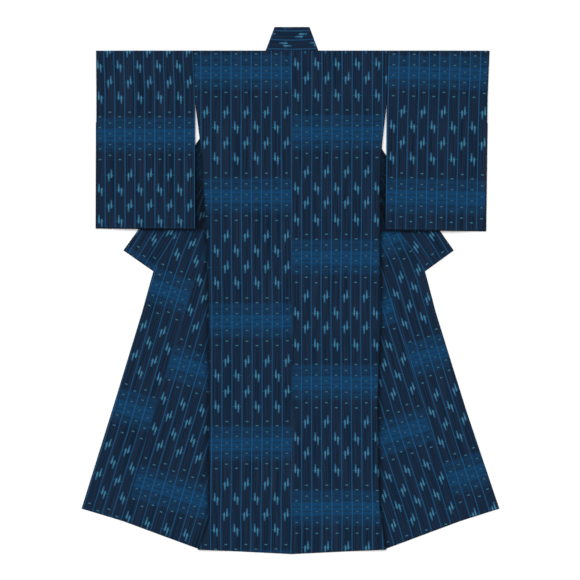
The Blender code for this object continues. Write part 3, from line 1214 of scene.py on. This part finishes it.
def make_kasuri_cotton():
    """The one material of the garment."""
    recipe = Recipe("kasuri_cotton")
    # The first number of this map is the amount of painted shade in the recesses, the second the
    # yarns' slip.
    depth, slip = recipe.uv("recess")
    chart = kasuri(recipe, slip)
    streaks = cloth_noise(recipe, chart, STREAKS, 3.0)
    picks = cloth_noise(recipe, chart, PICKS)
    uneven = cloth_noise(recipe, chart, UNEVEN_PICKS)
    ground = recipe.mix(streaks.rise(0.34, 0.64), GROUND, GROUND_STRIPE)
    picked = (picks * 0.62 + uneven * 0.38).rise(0.38, 0.62)
    weft = chart["band"] * (0.78 + picked * 0.42) * (1 - chart["dash row"] * 0.45)
    ground = recipe.mix(weft, ground, BAND_WEFT)
    line = recipe.mix(chart["band"], LINE_IN_GROUND, LINE_IN_BAND)
    colour = recipe.mix(chart["line"] * (0.8 + streaks * 0.3).least(1), ground, line)
    colour = recipe.mix(chart["mark pick"] * 0.7, colour, MARK_END)
    mark = recipe.mix(chart["mark centre"], MARK_END, MARK_CENTRE)
    colour = recipe.mix(chart["mark"], colour, mark)
    colour = recipe.mix(chart["dash"] * (1 - chart["band"] * 0.45), colour, DASH_COTTON)
    # Open edges darken partly from denser yarn and partly from painted shade; beside seams the
    # turned fold's shade is painted.
    edge_gap, seam_gap = recipe.uv("rim")
    edge = 1 - edge_gap.rise(0.8, 4.0)
    seam = (1 - seam_gap).most(0).least(2)
    colour = recipe.mix((edge * 0.72).most(seam * 0.32), colour, EDGE_SHADE)
    # Painted shade in the recesses beside the back and under the sleeves.
    colour = recipe.mix(depth, colour, RECESS_SHADE)
    height = weave_height(recipe, chart)
    bump = recipe.node("ShaderNodeBump", {}, {
        "Strength": 0.35, "Distance": 0.0003, "Height": height})
    print("kasuri cotton has", len(recipe.tree.nodes), "nodes before its shader")
    return recipe.finish({
        "Base Color": colour,
        "Roughness": COTTON_ROUGHNESS,
        "Specular IOR Level": COTTON_GLOSS,
        "Sheen Weight": 0.03,
        "Sheen Roughness": 0.6,
        "Normal": bump.outputs[0],
    })


kasuri_cotton = make_kasuri_cotton()
garment = {
    "body_left": bodies["left"],
    "body_right": bodies["right"],
    "okumi_left": okumi["left"],
    "okumi_right": okumi["right"],
    "sleeve_left": sleeves["left"],
    "sleeve_right": sleeves["right"],
    "collar": collar,
}
for piece in garment.values():
    piece.data.materials.append(kasuri_cotton)

# %% [markdown]
# A kimono is sewn by hand, with edges turned in and caught down by short slanted stitches,
# and with a line of running stitches above each sleeve's bottom. Stitches repeat along a
# path, so Geometry Nodes lay them: the path is spaced evenly, a small rounded stitch is set
# on every point and turned to follow it, and each is varied a little from a fixed seed.

# %% The thread
THREAD_PALE = dye(58, 104, 140)
THREAD_DARK = dye(14, 24, 40)
THREAD_TWIST = 900
THREAD_TONE = 160


def make_thread(name, colour, worn):
    """Twisted cotton thread, uneven in colour."""
    recipe = Recipe(name)
    place = recipe.node("ShaderNodeTexCoord", {}, {}).outputs["Object"]
    tone = recipe.amount("ShaderNodeTexNoise", {}, {"Vector": place, "Scale": THREAD_TONE})
    twist = recipe.amount("ShaderNodeTexWave", {"bands_direction": "DIAGONAL"},
                          {"Vector": place, "Scale": THREAD_TWIST, "Distortion": 0.6}, 1)
    bump = recipe.node("ShaderNodeBump", {}, {
        "Strength": 0.4, "Distance": 0.0002, "Height": twist})
    return recipe.finish({
        "Base Color": recipe.mix(tone.rise(0.35, 0.7), colour, worn),
        "Roughness": 0.8,
        "Specular IOR Level": COTTON_GLOSS,
        "Normal": bump.outputs[0],
    })


pale_thread = make_thread("pale_thread", THREAD_PALE, LINE_IN_GROUND)
dark_thread = make_thread("dark_thread", THREAD_DARK, GROUND_STRIPE)
print("threads:", pale_thread.name, "and", dark_thread.name)

# %% A row of stitches in Geometry Nodes
STITCH_INPUTS = (
    ("Spacing", "NodeSocketFloat"),
    ("Length", "NodeSocketFloat"),
    ("Thickness", "NodeSocketFloat"),
    ("Slant", "NodeSocketFloat"),
    ("Seed", "NodeSocketInt"),
    ("Thread", "NodeSocketMaterial"),
)
STITCH_SIDES = 6
STITCH_RINGS = 4
SLANT_VARIES = 0.12


def make_stitch_tree():
    """A tree that sets a stitch on every step of a path of edges."""
    tree = bpy.data.node_groups.new("row_of_stitches", "GeometryNodeTree")
    tree.is_modifier = True
    tree.interface.new_socket("Path", in_out="INPUT", socket_type="NodeSocketGeometry")
    for name, kind in STITCH_INPUTS:
        tree.interface.new_socket(name, in_out="INPUT", socket_type=kind)
    tree.interface.new_socket("Stitches", in_out="OUTPUT", socket_type="NodeSocketGeometry")
    given = add_node(tree, "NodeGroupInput", {}, {}).outputs
    path = add_node(tree, "GeometryNodeMeshToCurve", {}, {"Mesh": given["Path"]})
    steps = add_node(tree, "GeometryNodeResampleCurve", {"mode": "LENGTH"}, {
        "Curve": path.outputs[0], "Length": given["Spacing"]})
    run = add_node(tree, "GeometryNodeInputTangent", {}, {})
    facing = {"axis": "X", "pivot_axis": "Z"}
    along = add_node(tree, "FunctionNodeAlignRotationToVector", facing, {
        "Vector": run.outputs[0]})
    varied = add_node(tree, "FunctionNodeRandomValue", {"data_type": "FLOAT"}, {
        2: -SLANT_VARIES, 3: SLANT_VARIES, "Seed": given["Seed"]})
    slant = add_node(tree, "ShaderNodeMath", {"operation": "ADD"}, {
        0: given["Slant"], 1: varied.outputs[1]})
    turn = add_node(tree, "ShaderNodeCombineXYZ", {}, {"Z": slant.outputs[0]})
    turned = add_node(tree, "FunctionNodeRotateRotation", {"rotation_space": "LOCAL"}, {
        0: along.outputs[0], 1: turn.outputs[0]})
    half_length = add_node(tree, "ShaderNodeMath", {"operation": "MULTIPLY"}, {
        0: given["Length"], 1: 0.5})
    half_thick = add_node(tree, "ShaderNodeMath", {"operation": "MULTIPLY"}, {
        0: given["Thickness"], 1: 0.5})
    size = add_node(tree, "ShaderNodeCombineXYZ", {}, {
        "X": half_length.outputs[0], "Y": half_thick.outputs[0], "Z": half_thick.outputs[0]})
    ball = add_node(tree, "GeometryNodeMeshUVSphere", {}, {
        "Segments": STITCH_SIDES, "Rings": STITCH_RINGS, "Radius": 1.0})
    quarter = add_node(tree, "GeometryNodeTransform", {}, {
        "Geometry": ball.outputs[0], "Rotation": (0, math.pi / 2, 0)})
    stitch = add_node(tree, "GeometryNodeTransform", {}, {
        "Geometry": quarter.outputs[0], "Scale": size.outputs[0]})
    rounded = add_node(tree, "GeometryNodeSetShadeSmooth", {}, {"Geometry": stitch.outputs[0]})
    row = add_node(tree, "GeometryNodeInstanceOnPoints", {}, {
        "Points": steps.outputs[0],
        "Instance": rounded.outputs[0],
        "Rotation": turned.outputs[0],
    })
    real = add_node(tree, "GeometryNodeRealizeInstances", {}, {"Geometry": row.outputs[0]})
    finished = add_node(tree, "GeometryNodeSetMaterial", {}, {
        "Geometry": real.outputs[0], "Material": given["Thread"]})
    add_node(tree, "NodeGroupOutput", {}, {0: finished.outputs[0]})
    return tree


STITCH_TREE = make_stitch_tree()
print("the stitch tree has", len(STITCH_TREE.nodes), "nodes")

# %% [markdown]
# A stitch has to lie on the cloth, waves and all. The path of each row is therefore dropped
# onto the finished piece from above, which finds the height of the surface whatever shape
# the lifts gave it.

# %% Sewing
DROP_FROM = 0.05
STITCH_SINK = 0.1


def surface_of(piece):
    """The finished piece as a surface that a path can be dropped on."""
    bpy.context.view_layer.update()
    return BVHTree.FromObject(piece, bpy.context.evaluated_depsgraph_get())


def dropped(surface, line):
    """A line of plan places, as points on top of the cloth."""
    points = []
    for x, down in line:
        above = Vector(((x + ORIGIN_OUT) * MM, (ORIGIN_DOWN - down) * MM, DROP_FROM))
        hit = surface.ray_cast(above, Vector((0, 0, -1)))[0]
        if hit is not None:
            points.append(hit)
    return points


def sew(name, surface, lines, thread, spacing, length, thickness, slant=0.0, seed=1):
    """Rows of stitches along some lines on a piece."""
    mesh = bpy.data.meshes.new(name)
    points, edges = [], []
    for line in lines:
        start = len(points)
        points += dropped(surface, line)
        edges += [(index, index + 1) for index in range(start, len(points) - 1)]
    sink = Vector((0, 0, (thickness / 2 - STITCH_SINK) * MM))
    mesh.from_pydata([point + sink for point in points], edges, [])
    row = bpy.data.objects.new(name, mesh)
    KIMONO.objects.link(row)
    sewing = row.modifiers.new("sewing", "NODES")
    sewing.node_group = STITCH_TREE
    values = {"Spacing": spacing * MM, "Length": length * MM, "Thickness": thickness * MM,
              "Slant": math.radians(slant), "Seed": seed, "Thread": thread}
    for item in STITCH_TREE.interface.items_tree:
        if item.in_out == "INPUT" and item.name in values:
            sewing[item.identifier] = values[item.name]
    bpy.context.view_layer.update()
    sewn = row.evaluated_get(bpy.context.evaluated_depsgraph_get())
    finished = bpy.data.meshes.new_from_object(sewn)
    row.modifiers.remove(sewing)
    row.data = finished
    finished.name = name
    print(name, "has", len(finished.polygons), "faces")
    return row


def inset_line(sign, line, distance):
    """A line of the garment moved towards its inside, as plan places."""
    moved = move_sideways(line, -distance)
    return [(sign * point.x, point.y) for point in moved]


# %% Edges, bottoms and hems
EDGE_STITCH = {"spacing": 3.6, "length": 3.0, "thickness": 0.7}
RUNNING_STITCH = {"spacing": 6.0, "length": 3.8, "thickness": 0.8}
BLIND_STITCH = {"spacing": 14.0, "length": 1.8, "thickness": 0.7}
EDGE_INSET = 2.6
BOTTOM_INSET = 6.4
HEM_INSET = 13
WHIP_SLANT = 58
EDGE_START_BELOW_TIP = 7
COLLAR_STITCH_STEP = 20
BOTTOM_PARTS = 40
HEM_PARTS = 30
BACK_HEM_SHORT = 6
FRONT_HEM_START = 8
FRONT_HEM_SHORT = 4


def sew_collar():
    """Whip stitches just inside the collar's free edge, all the way round."""
    surface = surface_of(collar)
    lines = []
    for half, sign in SIGNS.items():
        stations = closer([row.seam for row in COLLAR_EDGE], COLLAR_STITCH_STEP)
        free = collar_lines(half, stations)[1]
        lines.append(inset_line(sign, free, EDGE_INSET))
    return sew("collar_edge_stitches", surface, lines, pale_thread,
               slant=WHIP_SLANT, **EDGE_STITCH)


def sew_okumi(half):
    """Whip stitches along the free edge of an okumi."""
    start = COLLAR_TIP_DOWN + EDGE_START_BELOW_TIP
    edge = [point for point in okumi_edge_line(half, FINE_STATIONS) if point.y > start]
    line = inset_line(SIGNS[half], edge, EDGE_INSET)
    return sew(f"okumi_{half}_edge_stitches", surface_of(okumi[half]), [line], pale_thread,
               slant=-WHIP_SLANT * SIGNS[half], seed=3, **EDGE_STITCH)


def sew_sleeve(half):
    """A line of running stitches above the bottom of a sleeve."""
    sign = SIGNS[half]
    line = []
    for part in range(1, BOTTOM_PARTS):
        share = part / BOTTOM_PARTS
        down = read(SLEEVE_BOTTOM, "edge", half, share) - BOTTOM_INSET
        inner = read(SLEEVE_INNER, "down", half, down)
        outer = read(SLEEVE_OUTER, "down", half, down)
        line.append((sign * (inner + share * (outer - inner)), down))
    return sew(f"sleeve_{half}_bottom_stitches", surface_of(sleeves[half]), [line], pale_thread,
               seed=5, **RUNNING_STITCH)


def sew_hem(half):
    """Blind stitches that hold up the hem of the back and of the front."""
    sign = SIGNS[half]
    back_line, front_line = [], []
    side_out = read(SIDE_EDGE, "down", half, HEM_CORNER_DOWN)
    seam_out = read(FRONT_SEAM, "down", half, HEM_SEAM_DOWN)
    front_start = side_out + FRONT_HEM_START
    front_length = seam_out - FRONT_HEM_SHORT - front_start
    for part in range(1, HEM_PARTS):
        share = part / HEM_PARTS
        hem = HEM_CENTRE_DOWN + (HEM_CORNER_DOWN - HEM_CENTRE_DOWN) * share
        back_line.append((sign * share * (side_out - BACK_HEM_SHORT), hem - HEM_INSET))
        hem = HEM_CORNER_DOWN + (HEM_SEAM_DOWN - HEM_CORNER_DOWN) * share
        front_line.append((sign * (front_start + share * front_length), hem - HEM_INSET))
    return sew(f"hem_{half}_stitches", surface_of(bodies[half]), [back_line, front_line],
               dark_thread, seed=7, **BLIND_STITCH)


stitches = {"collar": [sew_collar()]}
for half in SIGNS:
    stitches[f"okumi_{half}"] = [sew_okumi(half)]
    stitches[f"sleeve_{half}"] = [sew_sleeve(half)]
    stitches[f"body_{half}"] = [sew_hem(half)]

# %% [markdown]
# The studio is a white table under one broad light and a bright, even room, so that the
# table shows as plain white and the cloth keeps its own colour. A sun lamp with a wide angle
# gives the same light over the whole garment, where a lamp close by would fade at the hem.

# %% Table, lights and camera
VIEW_WIDTH = 1.856
LENS = 100
SENSOR = 36
VIEW_CENTRE = (-0.0014, 0.0017)
CLOTH_TOP = 0.005
TABLE_SIZE = 14.0
TABLE_TOP = -0.0002
KEY_SHARE = 0.5
KEY_SPREAD = 50
KEY_TURN = (-24, -20, 0)
ROOM_FILL = 1.04
FLOOR_WHITE = (0.92, 0.92, 0.92, 1)


def make_table():
    """The white table that the kimono lies on."""
    shape = bmesh.new()
    bmesh.ops.create_grid(shape, x_segments=1, y_segments=1, size=TABLE_SIZE / 2)
    bmesh.ops.translate(shape, verts=shape.verts[:], vec=(0, 0, TABLE_TOP))
    mesh = bpy.data.meshes.new("table_top")
    shape.to_mesh(mesh)
    shape.free()
    top = bpy.data.objects.new("table_top", mesh)
    bpy.context.scene.collection.objects.link(top)
    recipe = Recipe("white_table")
    mesh.materials.append(recipe.finish({
        "Base Color": FLOOR_WHITE, "Roughness": 0.9, "Specular IOR Level": 0.1}))
    return top


def make_lights():
    """One broad key light from the upper left, and the room's even light."""
    key = bpy.data.lights.new("key_light", "SUN")
    key.energy = math.pi * LIGHT_LEVEL * KEY_SHARE
    key.angle = math.radians(KEY_SPREAD)
    lamp = bpy.data.objects.new("key_light", key)
    lamp.rotation_euler = [math.radians(turn) for turn in KEY_TURN]
    bpy.context.scene.collection.objects.link(lamp)
    world = bpy.data.worlds.new("white_room")
    world.use_nodes = True
    backdrop = world.node_tree.nodes["Background"]
    backdrop.inputs["Color"].default_value = (1, 1, 1, 1)
    backdrop.inputs["Strength"].default_value = LIGHT_LEVEL * (1 - KEY_SHARE) * ROOM_FILL
    bpy.context.scene.world = world


def make_camera():
    """Straight above the garment, with the shoulders at the top of the picture."""
    lens = bpy.data.cameras.new("overhead_camera")
    lens.lens = LENS
    lens.sensor_width = SENSOR
    camera = bpy.data.objects.new("overhead_camera", lens)
    camera.location = (*VIEW_CENTRE, CLOTH_TOP + VIEW_WIDTH * LENS / SENSOR)
    bpy.context.scene.collection.objects.link(camera)
    bpy.context.scene.camera = camera


make_table()
make_lights()
make_camera()
bpy.context.scene.view_settings.view_transform = "Standard"
print("camera", round(bpy.context.scene.camera.location.z, 3), "m above the table")

# %% [markdown]
# The last step hangs each piece and its stitches from the garment's root and hides the solid
# that the piece stands for.

Cut = namedtuple("Cut", "width length area rests_on")
for node, piece in garment.items():
    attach(piece, "root")
    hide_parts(node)
    for row in stitches[node]:
        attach(row, "root")
print("declared", len(garment), "sheets of cloth")
